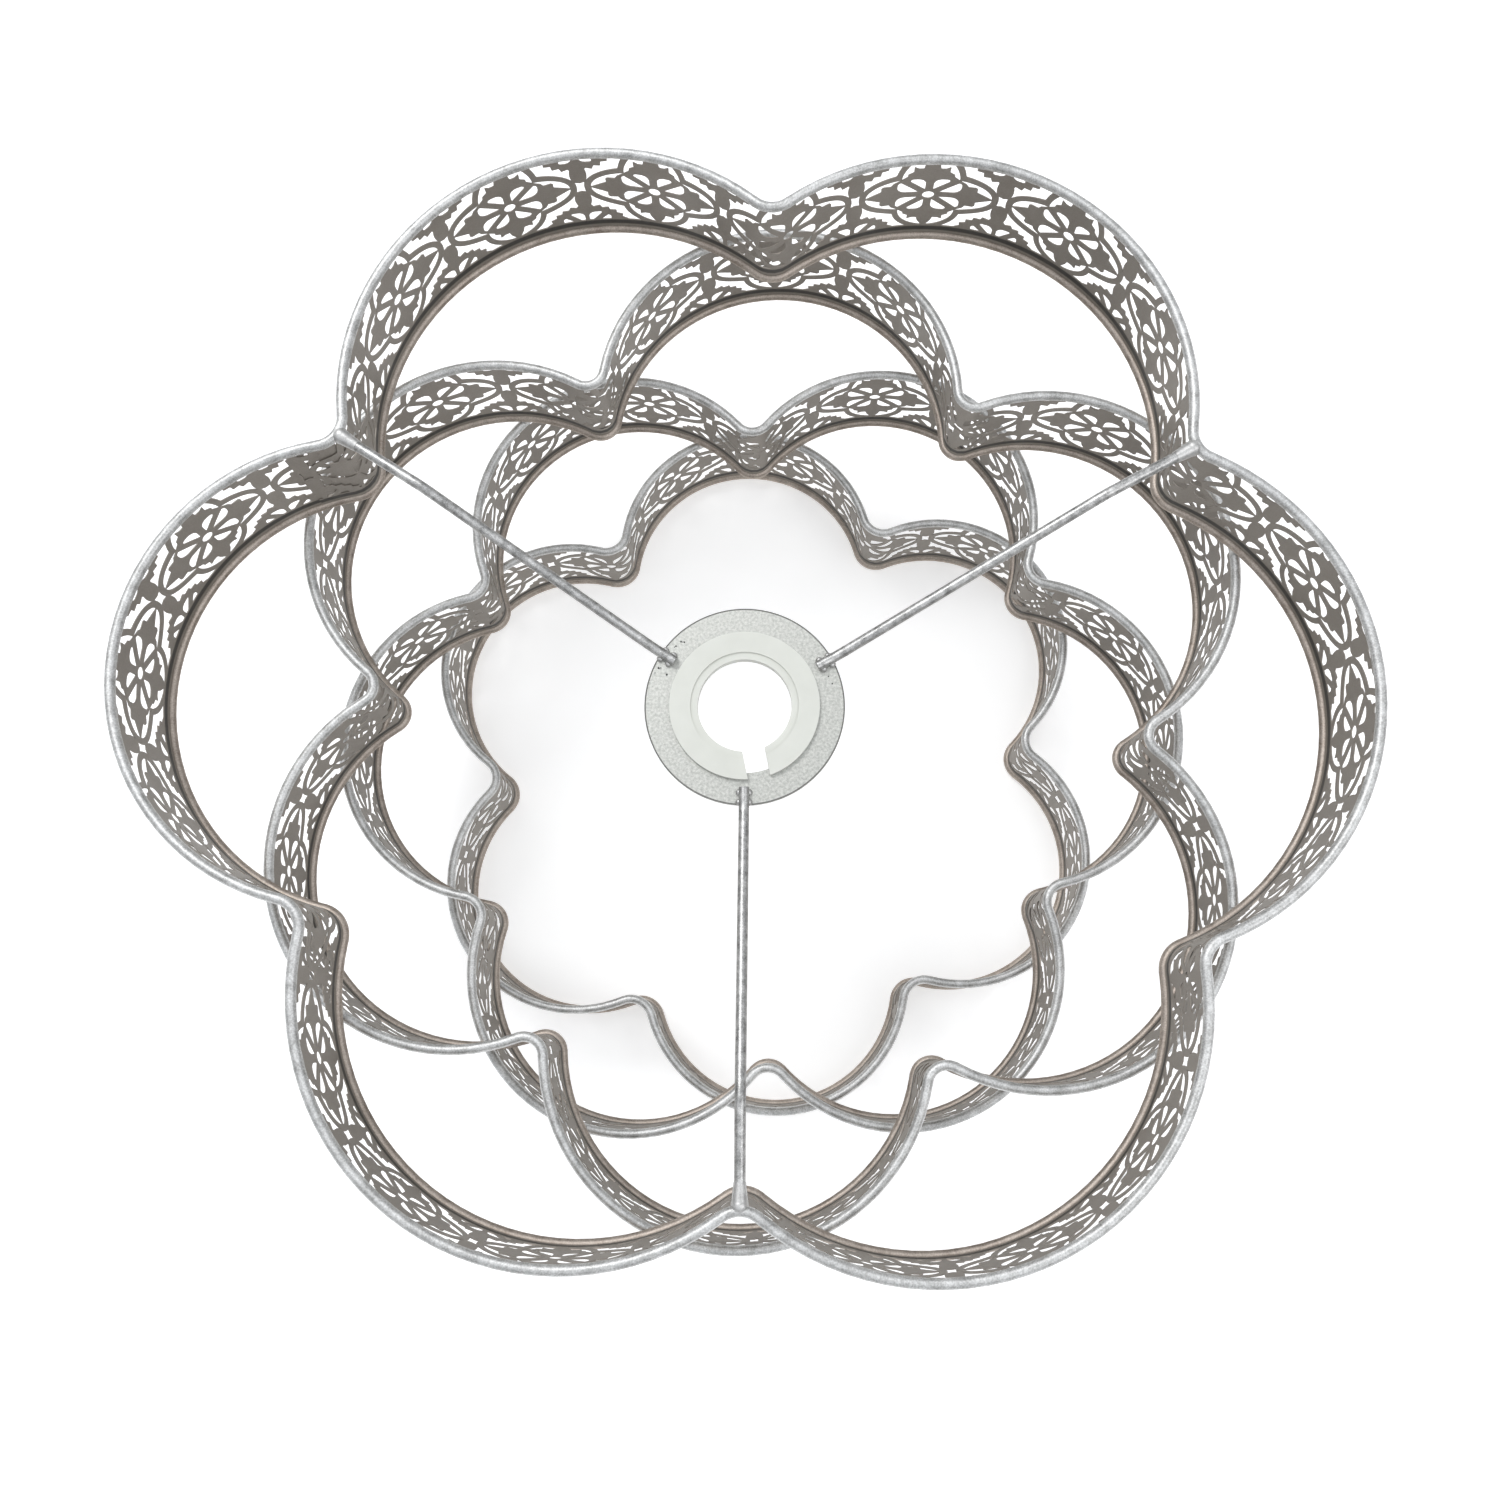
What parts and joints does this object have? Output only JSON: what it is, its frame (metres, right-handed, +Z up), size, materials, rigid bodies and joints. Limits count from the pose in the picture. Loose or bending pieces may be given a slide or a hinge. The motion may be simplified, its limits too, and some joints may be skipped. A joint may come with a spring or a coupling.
{
  "type": "pendant lampshade frame",
  "caption": "Tiered flower-shaped pendant shade frame: lobed wire rings with pierced strips between them, stepping inwards down from a spider with a drop-in reducer ring.",
  "frame": {"origin": "on the lampholder axis, at the top face of the spider washer", "axes": "+Z up along the lampholder axis, away from the lamp; +X towards one lobe of the top tier; the pulled lobe of the top tier lies along -X"},
  "size_m": [0.3727, 0.337, 0.1891],
  "materials": {
    "galvanised_wire": "zinc-plated round wire, satin and slightly mottled",
    "aged_wire": "dull round steel wire with a brownish tint",
    "filigree_sheet": "matt grey-brown pierced sheet",
    "spider_steel": "bare steel, speckled, with lighter zinc smears near the welds",
    "weld_metal": "small weld beads, darker at the edges",
    "reducer_plastic": "natural, slightly translucent moulded plastic"
  },
  "bodies": {
    "shade_frame": {"tier_1_top_wire": "galvanised_wire", "tier_1_filigree_strip": "filigree_sheet", "tier_1_bottom_wire": "aged_wire", "tier_2_top_wire": "galvanised_wire", "tier_2_filigree_strip": "filigree_sheet", "tier_2_bottom_wire": "aged_wire", "tier_3_top_wire": "galvanised_wire", "tier_3_filigree_strip": "filigree_sheet", "tier_3_bottom_wire": "aged_wire", "tier_4_top_wire": "galvanised_wire", "tier_4_filigree_strip": "filigree_sheet", "tier_4_bottom_wire": "aged_wire", "spider_washer": "spider_steel", "spoke_right": "spider_steel", "spoke_left": "spider_steel", "spoke_front": "spider_steel", "ring_to_spoke_welds": "weld_metal", "washer_to_spoke_welds": "weld_metal", "tier_1_to_2_welds": "weld_metal", "tier_2_to_3_welds": "weld_metal", "tier_3_to_4_welds": "weld_metal"},
    "reducer": {"reducer_ring": "reducer_plastic"}
  },
  "joints": [
    {"name": "reducer_lift", "type": "slide", "parent": "shade_frame", "child": "reducer", "axis": [0, 0, 1], "range_m": [0, 0.03]}
  ]
}
